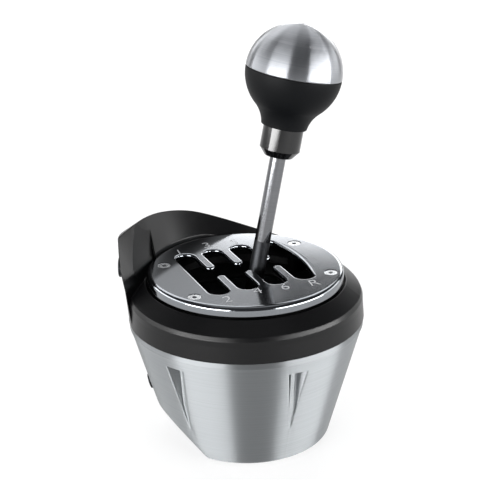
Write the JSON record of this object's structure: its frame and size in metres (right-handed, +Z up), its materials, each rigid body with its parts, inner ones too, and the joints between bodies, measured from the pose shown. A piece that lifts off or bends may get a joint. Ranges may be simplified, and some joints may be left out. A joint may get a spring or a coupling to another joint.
{
  "type": "sim racing gear shifter",
  "caption": "Desktop gear shifter with a tapered metal cup, round slotted gate plate, rising rear crest and a ball-headed stick on two tilt axes.",
  "frame": {"origin": "centre of the cup's flat underside, on the cup's axis", "axes": "+Z up along the cup's axis, +Y away from the driver, +X to the driver's right"},
  "size_m": [0.1388, 0.1426, 0.2429],
  "materials": {
    "brushed_metal": "brushed",
    "black_abs": "fine grain",
    "satin_aluminium": "satin brushed",
    "screw_steel": "zinc plated",
    "zinc_steel": "zinc plated",
    "black_screw": "black oxide",
    "bronze": "sintered",
    "spring_steel": "oiled",
    "circuit_board": "solder mask",
    "black_nylon": "matt",
    "socket_black": "matt",
    "socket_metal": "nickel plated",
    "zinc_alloy": "die cast",
    "ground_steel": "ground",
    "magnet": "nickel plated",
    "hardened_steel": "hardened",
    "chrome_rod": "chrome plated",
    "dark_sleeve": "satin black oxide",
    "gloss_black": "gloss",
    "knob_core_nylon": "matt",
    "soft_rubber": "soft matt",
    "knob_metal": "brushed"
  },
  "bodies": {
    "root": {"metal_shell": "brushed_metal", "base_plate": "zinc_steel", "top_housing": "black_abs", "housing_screws": "screw_steel", "socket_panel": "black_abs", "gate_plate": "satin_aluminium", "plate_screws": "screw_steel", "mechanism_bracket": "zinc_steel", "bracket_screws": "screw_steel", "select_bushes": "bronze", "select_spring_front": "spring_steel", "select_spring_rear": "spring_steel", "select_sensor_board": "circuit_board", "dust_tray": "black_nylon", "main_board": "circuit_board", "board_bracket": "black_nylon", "din_socket": "socket_black", "usb_socket": "socket_metal", "shell_screws": "black_screw", "crest_screw": "black_screw"},
    "cradle": {"select_cradle": "zinc_alloy", "select_pins": "ground_steel", "select_magnet": "magnet", "shift_bushes": "bronze", "detent_housing": "black_nylon", "detent_plunger": "ground_steel", "detent_spring": "spring_steel", "shift_sensor_board": "circuit_board"},
    "lever": {"lever_hub": "zinc_alloy", "shift_shaft": "ground_steel", "shift_cam": "hardened_steel", "shift_magnet": "magnet", "stick_base": "chrome_rod", "dust_cap": "black_nylon", "stick_sleeve": "dark_sleeve", "gear_stick": "chrome_rod", "knob_collar": "gloss_black", "knob_core": "knob_core_nylon", "knob_body": "soft_rubber", "knob_cap": "knob_metal"}
  },
  "joints": [
    {"name": "select_tilt", "type": "hinge", "parent": "root", "child": "cradle", "pos_m": [-0.0075, 0.0025, 0.024], "axis": [0, 1, 0], "range_deg": [-25.5, 11.7], "stiffness_Nm_per_rad": 2.5},
    {"name": "shift_tilt", "type": "hinge", "parent": "cradle", "child": "lever", "pos_m": [-0.0075, 0.0025, 0.024], "axis": [-0.9786, 0, 0.2056], "range_deg": [-15.5, 15.5]}
  ]
}
